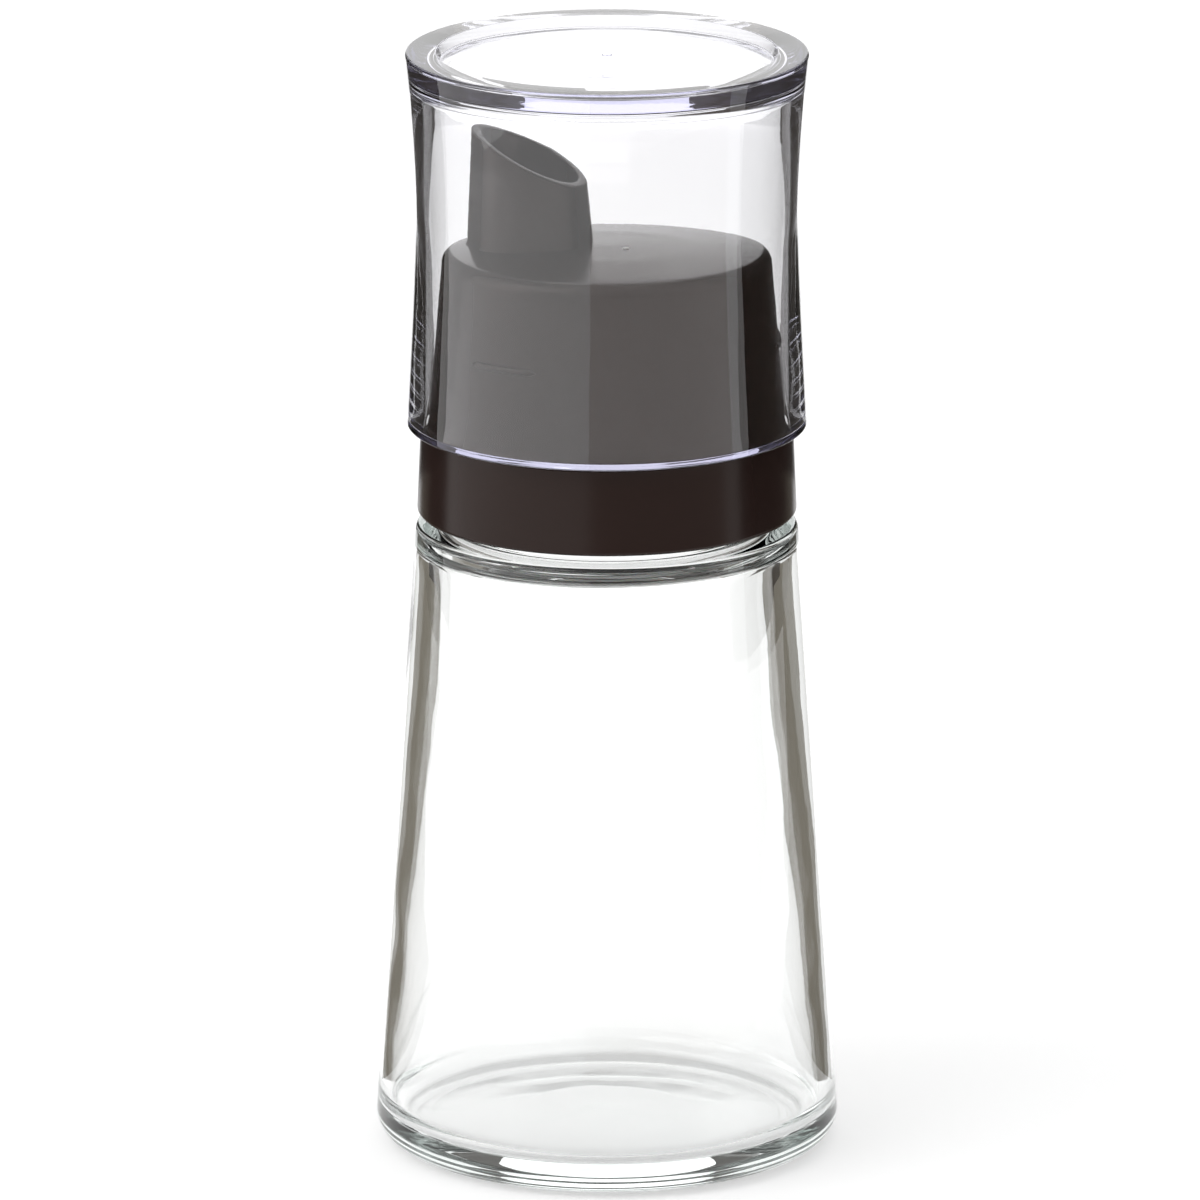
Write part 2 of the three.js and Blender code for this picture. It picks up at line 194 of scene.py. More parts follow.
def turning_tree():
    """Turns an outline in the XZ plane round the Z axis, then ripples and moves its inner faces."""
    tree, given = new_tree("turned body", [
        ("Steps", "Int"), ("Ripple Height", "Float"), ("Ripple Size", "Float"), ("Core Shift", "Vector"),
        ("Material", "Material")])
    place = add_node(tree, "GeometryNodeInputPosition").outputs[0]
    axes = add_node(tree, "ShaderNodeSeparateXYZ", {0: place}).outputs
    across = maths(tree, "SUBTRACT", axes["X"], RAIL_RADIUS)
    down = maths(tree, "MULTIPLY", axes["Z"], -1.0)
    section = add_node(tree, "ShaderNodeCombineXYZ", {"X": across, "Y": down}).outputs[0]
    line = add_node(tree, "GeometryNodeMeshToCurve", {"Mesh": given["Shape"]}).outputs[0]
    outline = add_node(tree, "GeometryNodeSetPosition", {"Geometry": line, "Position": section}).outputs[0]
    rail = add_node(tree, "GeometryNodeCurvePrimitiveCircle", {
        "Resolution": given["Steps"], "Radius": RAIL_RADIUS}).outputs[0]
    swept = add_node(tree, "GeometryNodeCurveToMesh", {"Curve": rail, "Profile Curve": outline}).outputs[0]
    turned_out = add_node(tree, "GeometryNodeFlipFaces", {"Mesh": swept}).outputs[0]
    welded = add_node(tree, "GeometryNodeMergeByDistance", {
        "Geometry": turned_out, "Distance": WELD_DISTANCE}).outputs[0]
    flat = vector_maths(tree, "MULTIPLY", {0: place, 1: (1, 1, 0)})
    outward = vector_maths(tree, "NORMALIZE", {0: flat})
    normal = add_node(tree, "GeometryNodeInputNormal").outputs[0]
    facing = vector_maths(tree, "DOT_PRODUCT", {0: normal, 1: outward})
    inner = maths(tree, "MINIMUM", facing, 0.0)
    scale = maths(tree, "DIVIDE", 1.0, given["Ripple Size"])
    noise = add_node(tree, "ShaderNodeTexNoise", {
        "Vector": place, "Scale": scale, "Detail": WAVE_DETAIL}).outputs[0]
    swing = maths(tree, "SUBTRACT", noise, 0.5)
    height = maths(tree, "MULTIPLY", swing, given["Ripple Height"])
    share = maths(tree, "MULTIPLY", height, inner)
    ripple = vector_maths(tree, "SCALE", {0: outward, "Scale": share})
    inside = maths(tree, "MULTIPLY", inner, -1.0)
    core = vector_maths(tree, "SCALE", {0: given["Core Shift"], "Scale": inside})
    shift = vector_maths(tree, "ADD", {0: ripple, 1: core})
    rippled = add_node(tree, "GeometryNodeSetPosition", {"Geometry": welded, "Offset": shift}).outputs[0]
    end_tree(tree, rippled, given["Material"])
    return tree


turned_body = turning_tree()


def turned(name, outline, material, closed=False, wave_height=0.0, wave_size=1.0, core_shift=(0, 0, 0)):
    """A piece turned round the Z axis from its outline."""
    mesh = bpy.data.meshes.new(name)
    count = len(outline)
    edges = [(index, index + 1) for index in range(count - 1)]
    if closed:
        edges.append((count - 1, 0))
    mesh.from_pydata([(point.x, 0, point.y) for point in outline], edges, [])
    piece = bpy.data.objects.new(name, mesh)
    bpy.context.scene.collection.objects.link(piece)
    shape_by(piece, turned_body, {
        "Steps": TURN_STEPS, "Ripple Height": wave_height, "Ripple Size": wave_size,
        "Core Shift": core_shift, "Material": material})
    return piece


def joined_meshes(tree, body, added):
    """The union of two closed meshes in a geometry tree."""
    union = add_node(tree, "GeometryNodeMeshBoolean", {"Mesh 2": body}, operation="UNION", solver="EXACT")
    tree.links.new(added, union.inputs["Mesh 2"])
    return union.outputs[0]


def thread_tree():
    """Joins a screw ridge to a turned body. A negative depth makes a ridge that points at the axis."""
    tree, given = new_tree("screw thread", [
        ("Wall Radius", "Float"), ("Depth", "Float"), ("Pitch", "Float"), ("Root", "Float"),
        ("Crest", "Float"), ("Low", "Float"), ("High", "Float"), ("Phase", "Float"), ("Run Out", "Float"),
        ("Material", "Material")])
    rise = maths(tree, "SUBTRACT", given["High"], given["Low"])
    turns = maths(tree, "DIVIDE", rise, given["Pitch"])
    ahead = maths(tree, "DIVIDE", maths(tree, "SUBTRACT", given["Low"], given["Phase"]), given["Pitch"])
    angle = maths(tree, "MULTIPLY", ahead, math.tau)
    helix = add_node(tree, "GeometryNodeCurveSpiral", {
        "Resolution": THREAD_STEPS, "Rotations": turns, "Start Radius": given["Wall Radius"],
        "End Radius": given["Wall Radius"], "Height": rise}).outputs[0]
    lift = add_node(tree, "ShaderNodeCombineXYZ", {"Z": given["Low"]}).outputs[0]
    spin = add_node(tree, "ShaderNodeCombineXYZ", {"Z": angle}).outputs[0]
    placed = add_node(tree, "GeometryNodeTransform", {
        "Geometry": helix, "Translation": lift, "Rotation": spin}).outputs[0]
    upright = add_node(tree, "GeometryNodeSetCurveNormal", {"Curve": placed}, mode="Z_UP").outputs[0]
    length = add_node(tree, "GeometryNodeSplineParameter").outputs["Length"]
    whole = add_node(tree, "GeometryNodeSplineLength").outputs["Length"]
    to_end = maths(tree, "MINIMUM", length, maths(tree, "SUBTRACT", whole, length))
    run_in = maths(tree, "DIVIDE", to_end, given["Run Out"])
    grown = maths(tree, "MINIMUM", maths(tree, "ADD", run_in, THREAD_TIP), 1.0)
    faded = add_node(tree, "GeometryNodeSetCurveRadius", {"Curve": upright, "Radius": grown}).outputs[0]
    tall = maths(tree, "MULTIPLY", maths(tree, "ABSOLUTE", given["Depth"]), 1 + THREAD_SINK)
    ridge = add_node(tree, "GeometryNodeCurvePrimitiveQuadrilateral", {
        "Bottom Width": given["Root"], "Top Width": given["Crest"], "Height": tall, "Offset": 0.0},
        mode="TRAPEZOID").outputs[0]
    middle = maths(tree, "MULTIPLY", given["Depth"], (THREAD_SINK - 1) / 2)
    facing = maths(tree, "MULTIPLY", maths(tree, "SIGN", given["Depth"]), math.pi / 2)
    rooted = add_node(tree, "GeometryNodeTransform", {
        "Geometry": ridge,
        "Rotation": add_node(tree, "ShaderNodeCombineXYZ", {"Z": facing}).outputs[0],
        "Translation": add_node(tree, "ShaderNodeCombineXYZ", {"X": middle}).outputs[0]}).outputs[0]
    swept = add_node(tree, "GeometryNodeCurveToMesh", {
        "Curve": faded, "Profile Curve": rooted, "Scale": grown, "Fill Caps": True}).outputs[0]
    end_tree(tree, joined_meshes(tree, given["Shape"], swept), given["Material"])
    return tree


screw_thread = thread_tree()


def smooth(piece):
    """Closes a piece's seams, points its faces outwards and shades it smooth but for its sharp edges."""
    work = bmesh.new()
    work.from_mesh(piece.data)
    bmesh.ops.remove_doubles(work, verts=work.verts, dist=WELD_DISTANCE)
    bmesh.ops.recalc_face_normals(work, faces=work.faces)
    work.to_mesh(piece.data)
    work.free()
    piece.data.shade_smooth()
    piece.data.set_sharp_from_angle(angle=SHARP_EDGE)


def new_material(name):
    """A material with its tree, its Principled shader and the object coordinates."""
    material = bpy.data.materials.new(name)
    material.use_nodes = True
    tree = material.node_tree
    shader = tree.nodes["Principled BSDF"]
    place = add_node(tree, "ShaderNodeTexCoord").outputs["Object"]
    return material, tree, shader, place


def finish_group():
    """Grain, ripple and smudge patterns of a moulded or blown surface, each from 0 to 1."""
    group = bpy.data.node_groups.new("moulded surface", "ShaderNodeTree")
    group.interface.new_socket("Place", in_out="INPUT", socket_type="NodeSocketVector")
    for label in PATTERN_DETAIL:
        group.interface.new_socket(label + " Size", in_out="INPUT", socket_type="NodeSocketFloat")
        group.interface.new_socket(label, in_out="OUTPUT", socket_type="NodeSocketFloat")
    given = group.nodes.new("NodeGroupInput").outputs
    result = group.nodes.new("NodeGroupOutput").inputs
    for label, detail in PATTERN_DETAIL.items():
        scale = maths(group, "DIVIDE", 1.0, given[label + " Size"])
        noise = add_node(group, "ShaderNodeTexNoise", {
            "Vector": given["Place"], "Scale": scale, "Detail": detail}).outputs[0]
        group.links.new(noise, result[label])
    return group


moulded_surface = finish_group()


def surface(tree, place, grain_size, ripple_size, smudge_size):
    """The patterns of one material's surface, at its own sizes."""
    return add_node(tree, "ShaderNodeGroup", {
        "Place": place, "Grain Size": grain_size, "Ripple Size": ripple_size, "Smudge Size": smudge_size},
        node_tree=moulded_surface).outputs


def between(tree, share, low, high):
    """A value that follows a share from one limit to the other."""
    return add_node(tree, "ShaderNodeMapRange", {"Value": share, "To Min": low, "To Max": high}).outputs[0]


def tint(tree, share, low, high):
    """A colour that follows a share from one colour to the other. Mix has its colours in sockets 6 and 7."""
    return add_node(tree, "ShaderNodeMix", {0: share, 6: low, 7: high}, data_type="RGBA").outputs[2]


def bumped(tree, height, depth, under=None):
    """A normal that follows a height pattern of a given depth, on top of another normal if there is one."""
    inputs = {"Height": height, "Distance": depth}
    if under is not None:
        inputs["Normal"] = under
    return add_node(tree, "ShaderNodeBump", inputs).outputs[0]


def bottle_glass():
    """Clear glass, faintly green where it is thick, with soft ripples and a few dull smudges."""
    material, tree, shader, place = new_material("bottle_glass")
    pattern = surface(tree, place, *GLASS_PATTERN_SIZES)
    shader.inputs["Transmission Weight"].default_value = 1
    shader.inputs["IOR"].default_value = GLASS_IOR
    tree.links.new(tint(tree, pattern["Smudge"], *GLASS_TINTS), shader.inputs["Base Color"])
    tree.links.new(between(tree, pattern["Smudge"], *GLASS_ROUGHNESS), shader.inputs["Roughness"])
    ripple = bumped(tree, pattern["Ripple"], GLASS_RIPPLE_DEPTH)
    tree.links.new(bumped(tree, pattern["Grain"], GLASS_GRAIN_DEPTH, ripple), shader.inputs["Normal"])
    absorption = add_node(tree, "ShaderNodeVolumeAbsorption", {
        "Color": GLASS_GREEN, "Density": GLASS_GREEN_DENSITY}).outputs[0]
    tree.links.new(absorption, tree.nodes["Material Output"].inputs["Volume"])
    return material


glass = bottle_glass()
shoulder_radius = lid_radius + SHOULDER_LIP
wall_slope = (base_radius - shoulder_radius) / (SHOULDER_HEIGHT - HEEL_ROUND)


def outer_wall(height):
    """The outer radius of the tapered body at a height."""
    return base_radius - wall_slope * (height - HEEL_ROUND)


inner_shoulder = SHOULDER_HEIGHT - SHOULDER_TOP
hollow_radius = base_radius - HEEL_ROUND - STANDING_RING
bottle = turned("bottle", rounded([
    (0, PUNT, 0),
    (hollow_radius / 2, PUNT * CROWN_HALFWAY, PUNT_ROUND),
    (hollow_radius, 0, STANDING_ROUND),
    (outer_wall(0), 0, HEEL_ROUND),
    (shoulder_radius, SHOULDER_HEIGHT, SHOULDER_ROUND),
    (NECK_RADIUS, SHOULDER_HEIGHT, NECK_FOOT_ROUND),
    (NECK_RADIUS, rim_height, RIM_ROUND),
    (NECK_BORE, rim_height, RIM_ROUND),
    (NECK_BORE, inner_shoulder, BORE_ROUND),
    (outer_wall(inner_shoulder) - SHOULDER_WALL, inner_shoulder, INNER_ROUND),
    (outer_wall(UPPER_WALL_END) - UPPER_WALL, UPPER_WALL_END, WALL_ROUND),
    (outer_wall(LOWER_WALL_START) - LOWER_WALL, LOWER_WALL_START, WALL_ROUND),
    (outer_wall(FLOOR) - FOOT_WALL, FLOOR, INNER_HEEL_ROUND),
    (0, FLOOR + FLOOR_CROWN, 0),
]), glass, wave_height=WAVE_HEIGHT, wave_size=WAVE_SIZE, core_shift=(-CORE_SHIFT, 0, 0))
smooth(bottle)
thread_low = SHOULDER_HEIGHT + THREAD_START
thread_high = rim_height - THREAD_TOP_GAP
shape_by(bottle, screw_thread, {
    "Wall Radius": NECK_RADIUS, "Depth": THREAD_DEPTH, "Pitch": THREAD_PITCH, "Root": THREAD_ROOT,
    "Crest": THREAD_CREST, "Low": thread_low, "High": thread_high, "Phase": thread_low,
    "Run Out": THREAD_RUN_OUT, "Material": glass})
smooth(bottle)
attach(bottle, "bottle")
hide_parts("glass_bottle")

# Lid gasket
# A flat ring of milky silicone, moulded, that lies in the lid and is pressed on the bottle's rim.
# Its edges are a little rounded by the mould.
gasket_low, gasket_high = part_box("lid_gasket")
GASKET_BORE = 0.0167
GASKET_ROUND = 0.00025
SILICONE_PATTERN_SIZES = (0.0003, 0.004, 0.006)
SILICONE_TINTS = ((0.80, 0.79, 0.75, 1), (0.72, 0.71, 0.67, 1))
SILICONE_ROUGHNESS = (0.45, 0.62)
SILICONE_GRAIN_DEPTH = 0.00002
SILICONE_MILKINESS = 0.4
SILICONE_MILK_REACH = 0.001


def silicone():
    """Milky silicone with a fine dull grain, which lets some light in."""
    material, tree, shader, place = new_material("milky_silicone")
    pattern = surface(tree, place, *SILICONE_PATTERN_SIZES)
    tree.links.new(tint(tree, pattern["Smudge"], *SILICONE_TINTS), shader.inputs["Base Color"])
    tree.links.new(between(tree, pattern["Grain"], *SILICONE_ROUGHNESS), shader.inputs["Roughness"])
    tree.links.new(bumped(tree, pattern["Grain"], SILICONE_GRAIN_DEPTH), shader.inputs["Normal"])
    shader.inputs["Subsurface Weight"].default_value = SILICONE_MILKINESS
    shader.inputs["Subsurface Scale"].default_value = SILICONE_MILK_REACH
    return material


gasket = turned("gasket", rounded([
    (GASKET_BORE, gasket_low.z, GASKET_ROUND),
    (gasket_high.x, gasket_low.z, GASKET_ROUND),
    (gasket_high.x, gasket_high.z, GASKET_ROUND),
    (GASKET_BORE, gasket_high.z, GASKET_ROUND),
], closed=True), silicone(), closed=True)
smooth(gasket)
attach(gasket, "gasket")
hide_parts("lid_gasket")

# Pouring lid
# One moulding of satin black plastic: a grip ring with the thread inside, a tapered dome and a slant-cut
# spout. A pour hole and an air hole open into the spout's foot, and three short ribs hold the cap upright.
# A small mark on the top shows where the plastic entered the mould; a painted highlight, white in its colour,
# stands for its glint.
LID_BORE = 0.02075
RING_HEIGHT = 0.01085
RING_DRAFT = 0.00047
RING_LOWER_ROUND = 0.0006
RING_UPPER_ROUND = 0.0003
LEDGE_WIDTH = 0.00065
LEDGE_ROUND = 0.0002
DOME_HEIGHT = 0.0225
DOME_TAPER = 0.0021
DOME_ROUND = 0.0018
DOME_CROWN = 0.0011
DOME_CROWN_ROUND = 0.06
TOP_PLATE = 0.0018
SLEEVE_FOOT = 0.0945
SLEEVE_WALL = 0.0014
SLEEVE_DRAFT = 0.0003
SLEEVE_ROUND = 0.0003
SLEEVE_TOP_ROUND = 0.0006
GROOVE_TIP = 0.0009
SPOUT_OFFSET = 0.010
SPOUT_RADIUS = 0.00785
SPOUT_DRAFT = 0.056
SPOUT_WALL = 0.00125
SPOUT_CUT = math.radians(29.6)
SPOUT_FOOT_ROUND = 0.0008
SPOUT_STEPS = 96
MOUTH_HEIGHT = 0.12705
MOUTH_ROUND = 0.0004
POUR_HOLE = 0.0024
AIR_HOLE = 0.0012
HOLE_MARGIN = 0.001
HOLE_STEPS = 48
RIB_COUNT = 3
RIB_SWEEP = math.radians(25)
RIB_FIRST = math.radians(252)
RIB_HEIGHT = 0.0114
RIB_WIDTH = 0.0009
RIB_PROUD = 0.0004
RIB_STEPS = 32
RIB_SIDES = 16
RIB_TIP = 0.2
RIB_TIP_GROWTH = 10.0
GATE_PLACE = (0.0030, -0.0017)
GATE_RADIUS = 0.0004
GATE_PROUD = 0.00014
GATE_STEPS = 24
# The painted highlight on the gate mark: its white, and where it is full and where it has faded out, as
# shares of the mark's radius.
GATE_HIGHLIGHT = (0.90, 0.88, 0.86, 1)
GATE_HIGHLIGHT_END = 0.9
GATE_FADE_END = 1.2
LID_THREAD_LEAD_IN = 0.0015
FLANK_GAP = 0.0003
BLACK_PATTERN_SIZES = (0.00022, 0.006, 0.012)
BLACK_TINTS = ((0.017, 0.009, 0.0075, 1), (0.022, 0.0115, 0.010, 1))
BLACK_ROUGHNESS = (0.18, 0.25)
BLACK_SPECULAR = 0.26
BLACK_SPECULAR_TINT = (1, 0.88, 0.83, 1)
BLACK_RIPPLE_DEPTH = 0.00003
BLACK_GRAIN_DEPTH = 0.000002

lid_foot = lid_low.z
ledge_height = lid_foot + RING_HEIGHT
ledge_radius = lid_radius - RING_DRAFT
dome_radius = ledge_radius - LEDGE_WIDTH
dome_edge = ledge_height + DOME_HEIGHT
dome_edge_radius = dome_radius - DOME_TAPER
plate_under = dome_edge - TOP_PLATE
sleeve_outer = NECK_BORE + SLEEVE_WALL
gate_height = dome_edge + DOME_CROWN * (1 - (math.hypot(*GATE_PLACE) / dome_edge_radius) ** 2)
gate_spot = Vector((*GATE_PLACE, gate_height))


def black_plastic():
    """Warm black plastic with a fine satin grain, and a painted highlight: white painted into its colour at
    the mould's entry mark.
    """
    material, tree, shader, place = new_material("black_plastic")
    pattern = surface(tree, place, *BLACK_PATTERN_SIZES)
    shader.inputs["Specular IOR Level"].default_value = BLACK_SPECULAR
    shader.inputs["Specular Tint"].default_value = BLACK_SPECULAR_TINT
    black = tint(tree, pattern["Smudge"], *BLACK_TINTS)
    # A painted highlight: the base colour turns white over the gate mark, standing in for its glint.
    from_gate = vector_maths(tree, "DISTANCE", {0: place, 1: gate_spot})
    painted_highlight = add_node(tree, "ShaderNodeMapRange", {
        "Value": from_gate, "From Min": GATE_RADIUS * GATE_HIGHLIGHT_END, "From Max": GATE_RADIUS * GATE_FADE_END,
        "To Min": 1.0, "To Max": 0.0}).outputs[0]
    tree.links.new(tint(tree, painted_highlight, black, GATE_HIGHLIGHT), shader.inputs["Base Color"])
    tree.links.new(between(tree, pattern["Grain"], *BLACK_ROUGHNESS), shader.inputs["Roughness"])
    ripple = bumped(tree, pattern["Ripple"], BLACK_RIPPLE_DEPTH)
    tree.links.new(bumped(tree, pattern["Grain"], BLACK_GRAIN_DEPTH, ripple), shader.inputs["Normal"])
    return material


plastic = black_plastic()
lid = turned("pouring_lid", rounded([
    (0, plate_under, 0),
    (NECK_BORE - SLEEVE_DRAFT, plate_under, SLEEVE_TOP_ROUND),
    (NECK_BORE, SLEEVE_FOOT, SLEEVE_ROUND),
    (sleeve_outer, SLEEVE_FOOT, SLEEVE_ROUND),
    (sleeve_outer, plate_under, SLEEVE_ROUND),
    (sleeve_outer + GROOVE_TIP, plate_under, SLEEVE_ROUND),
    (LID_BORE, SLEEVE_FOOT, 0),
    (LID_BORE, lid_foot, SLEEVE_ROUND),
    (lid_radius, lid_foot, RING_LOWER_ROUND),
    (ledge_radius, ledge_height, RING_UPPER_ROUND),
    (dome_radius, ledge_height, LEDGE_ROUND),
    (dome_edge_radius, dome_edge, DOME_ROUND),
    (dome_edge_radius / 2, dome_edge + DOME_CROWN * CROWN_HALFWAY, DOME_CROWN_ROUND),
    (0, dome_edge + DOME_CROWN, 0),
]), plastic)
smooth(lid)
ridge_width = (THREAD_ROOT + THREAD_CREST) / 2
thread_drop = ridge_width + FLANK_GAP
shape_by(lid, screw_thread, {
    "Wall Radius": LID_BORE, "Depth": -THREAD_DEPTH, "Pitch": THREAD_PITCH, "Root": THREAD_ROOT,
    "Crest": THREAD_CREST, "Low": lid_foot + LID_THREAD_LEAD_IN, "High": thread_high - thread_drop,
    "Phase": thread_low - thread_drop, "Run Out": THREAD_RUN_OUT, "Material": plastic})


def spout_section(angle):
    """The spout's wall at one angle round its axis: points (radius, height) from its foot over the mouth."""
    slope = math.tan(SPOUT_CUT) * math.cos(angle)
    foot = dome_edge - TOP_PLATE / 2
    outer = SPOUT_RADIUS - SPOUT_DRAFT * (MOUTH_HEIGHT - dome_edge)
    inner = outer - SPOUT_WALL
    top_edge = Vector((outer, MOUTH_HEIGHT - slope * outer))
    bore_edge = Vector((inner, MOUTH_HEIGHT - slope * inner))
    along = (bore_edge - top_edge).normalized() * MOUTH_ROUND
    drop = Vector((0, -MOUTH_ROUND))
    points = [Vector((SPOUT_RADIUS + SPOUT_FOOT_ROUND, foot))]
    for step in range(ARC_STEPS + 1):
        turn = math.pi / 2 * step / ARC_STEPS
        points.append(Vector((SPOUT_RADIUS + SPOUT_FOOT_ROUND * (1 - math.sin(turn)),
                              dome_edge + SPOUT_FOOT_ROUND * (1 - math.cos(turn)))))
    shoulder = points[-1]
    wall_top = top_edge + drop
    points += [shoulder.lerp(wall_top, step / ARC_STEPS) for step in range(1, ARC_STEPS)]
    for edge, before, after in ((top_edge, drop, along), (bore_edge, -along, drop)):
        for step in range(ARC_STEPS + 1):
            share = step / ARC_STEPS
            points.append(edge + before * (1 - share) ** 2 + after * share ** 2)
    bore_foot = Vector((SPOUT_RADIUS - SPOUT_WALL, foot))
    bore_top = points[-1]
    points += [bore_top.lerp(bore_foot, step / ARC_STEPS) for step in range(1, ARC_STEPS + 1)]
    return points


def plastic_mesh(name, work):
    """A mesh of the lid's plastic, made of a finished bmesh."""
    mesh = bpy.data.meshes.new(name)
    work.to_mesh(mesh)
    work.free()
    mesh.materials.append(plastic)
    return mesh


def spout_tube():
    """The spout as a closed ring of sections, sunk into the dome's top."""
    work = bmesh.new()
    rings = []
    for step in range(SPOUT_STEPS):
        angle = math.tau * step / SPOUT_STEPS
        across, along = math.cos(angle), math.sin(angle)
        rings.append([work.verts.new((point.x * across - SPOUT_OFFSET, point.x * along, point.y))
                      for point in spout_section(angle)])
    for ring, after in zip(rings, rings[1:] + rings[:1]):
        for index in range(len(ring)):
            following = (index + 1) % len(ring)
            work.faces.new((ring[index], after[index], after[following], ring[following]))
    bmesh.ops.recalc_face_normals(work, faces=work.faces)
    return plastic_mesh("spout", work)


def drill(radius, x):
    """A round drill that reaches through the dome's top."""
    low = plate_under - TOP_PLATE
    high = dome_edge + TOP_PLATE
    work = bmesh.new()
    bmesh.ops.create_cone(work, cap_ends=True, segments=HOLE_STEPS, radius1=radius, radius2=radius,
                          depth=high - low, matrix=Matrix.Translation((x, 0, (low + high) / 2)))
    return plastic_mesh("drill", work)


def gate_mark():
    """The small raised mark on the top, where the plastic entered the mould."""
    flat = Matrix.Diagonal((1, 1, GATE_PROUD / GATE_RADIUS, 1))
    work = bmesh.new()
    bmesh.ops.create_uvsphere(work, u_segments=GATE_STEPS, v_segments=GATE_STEPS // 2, radius=GATE_RADIUS,
                              matrix=Matrix.Translation(gate_spot) @ flat)
    return plastic_mesh("gate", work)


def join_or_cut(piece, mesh, operation):
    """Joins a closed mesh to a piece, or cuts it out."""
    tool = bpy.data.objects.new("tool", mesh)
    bpy.context.scene.collection.objects.link(tool)
    change = piece.modifiers.new(operation, "BOOLEAN")
    change.operation = operation
    change.solver = "EXACT"
    change.object = tool
    evaluated = piece.evaluated_get(bpy.context.evaluated_depsgraph_get())
    result = bpy.data.meshes.new_from_object(evaluated)
    piece.modifiers.remove(change)
    piece.data = result
    bpy.data.objects.remove(tool)


join_or_cut(lid, spout_tube(), "UNION")
hole_reach = SPOUT_RADIUS - SPOUT_WALL - HOLE_MARGIN
join_or_cut(lid, drill(POUR_HOLE, -SPOUT_OFFSET - hole_reach + POUR_HOLE), "DIFFERENCE")
join_or_cut(lid, drill(AIR_HOLE, -SPOUT_OFFSET + hole_reach - AIR_HOLE), "DIFFERENCE")
join_or_cut(lid, gate_mark(), "UNION")


def rib_tree():
    """Joins short ribs to a body, evenly spaced round the Z axis."""
    tree, given = new_tree("cap ribs", [
        ("Count", "Int"), ("First Angle", "Float"), ("Sweep", "Float"), ("Radius", "Float"),
        ("Height", "Float"), ("Width", "Float"), ("Proud", "Float"), ("Material", "Material")])
    start = maths(tree, "MULTIPLY", given["Sweep"], -0.5)
    arc = add_node(tree, "GeometryNodeCurveArc", {
        "Resolution": RIB_STEPS, "Radius": given["Radius"], "Start Angle": start,
        "Sweep Angle": given["Sweep"]}).outputs[0]
    upright = add_node(tree, "GeometryNodeSetCurveNormal", {"Curve": arc}, mode="Z_UP").outputs[0]
    factor = add_node(tree, "GeometryNodeSplineParameter").outputs["Factor"]
    to_end = maths(tree, "MINIMUM", factor, maths(tree, "SUBTRACT", 1.0, factor))
    swelling = maths(tree, "ADD", maths(tree, "MULTIPLY", to_end, RIB_TIP_GROWTH), RIB_TIP)
    grown = maths(tree, "MINIMUM", swelling, 1.0)
    bead = add_node(tree, "GeometryNodeCurvePrimitiveCircle", {
        "Resolution": RIB_SIDES, "Radius": 1.0}).outputs[0]
    size = add_node(tree, "ShaderNodeCombineXYZ", {
        "X": given["Proud"], "Y": maths(tree, "DIVIDE", given["Width"], 2.0), "Z": 1.0}).outputs[0]
    oval = add_node(tree, "GeometryNodeTransform", {"Geometry": bead, "Scale": size}).outputs[0]
    rib = add_node(tree, "GeometryNodeCurveToMesh", {
        "Curve": upright, "Profile Curve": oval, "Scale": grown, "Fill Caps": True}).outputs[0]
    lift = add_node(tree, "ShaderNodeCombineXYZ", {"Z": given["Height"]}).outputs[0]
    spots = add_node(tree, "GeometryNodePoints", {"Count": given["Count"], "Position": lift}).outputs[0]
    index = add_node(tree, "GeometryNodeInputIndex").outputs[0]
    share = maths(tree, "DIVIDE", maths(tree, "MULTIPLY", index, math.tau), given["Count"])
    turn = maths(tree, "ADD", share, given["First Angle"])
    spin = add_node(tree, "ShaderNodeCombineXYZ", {"Z": turn}).outputs[0]
    ribs = add_node(tree, "GeometryNodeInstanceOnPoints", {
        "Points": spots, "Instance": rib, "Rotation": spin}).outputs[0]
    real = add_node(tree, "GeometryNodeRealizeInstances", {"Geometry": ribs}).outputs[0]
    end_tree(tree, joined_meshes(tree, given["Shape"], real), given["Material"])
    return tree


shape_by(lid, rib_tree(), {
    "Count": RIB_COUNT, "First Angle": RIB_FIRST, "Sweep": RIB_SWEEP,
    "Radius": dome_radius - DOME_TAPER * RIB_HEIGHT / DOME_HEIGHT, "Height": ledge_height + RIB_HEIGHT,
    "Width": RIB_WIDTH, "Proud": RIB_PROUD, "Material": plastic})
smooth(lid)
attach(lid, "lid")
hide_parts("pourer_lid")

# Clear cap
# One moulding of clear polished plastic, pushed over the lid. Its wall narrows to a waist and flares to a
# thick rim. The top is dished inside the rim, and a small mark shows where the plastic entered the mould.
cap_low, cap_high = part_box("clear_cap")
CAP_CLEARANCE = 0.00035
CAP_FOOT_WALL = 0.002
CAP_FOOT_ROUND = 0.0003
CAP_LEAD_IN_WIDTH = 0.0009
CAP_LEAD_IN_HEIGHT = 0.0006
CAP_LEAD_IN_ROUND = 0.0001
CAP_WAIST = 0.00121
CAP_WAIST_HEIGHT = 0.0261
CAP_FLARE = 0.00131
CAP_LOWER_CURVE = 1.25
CAP_UPPER_CURVE = 1.7
CAP_WALL_STEPS = 24
CAP_BORE_DRAFT = 0.0006
CAP_BORE_ROUND = 0.0002
CAP_ROOF = 0.0016
CAP_ROOF_CROWN = 0.0008
CAP_ROOF_ROUND = 0.0020
CAP_CROWN_ROUND = 0.08
CAP_RIM_WIDTH = 0.0038
CAP_RIM_ROUND = 0.00035
CAP_RECESS = 0.0013
CAP_MARK_RADIUS = 0.0007
CAP_MARK_TOP = 0.8
CAP_MARK_HEIGHT = 0.00015
CLEAR_PATTERN_SIZES = (0.0008, 0.014, 0.015)
CLEAR_IOR = 1.57
CLEAR_TINTS = ((1, 1, 1, 1), (0.985, 0.985, 0.99, 1))
CLEAR_ROUGHNESS = (0.0, 0.02)
CLEAR_RIPPLE_DEPTH = 0.00006
CLEAR_GRAIN_DEPTH = 0.000001
CLEAR_VIOLET = (0.40, 0.38, 0.85, 1)
CLEAR_VIOLET_DENSITY = 11.0


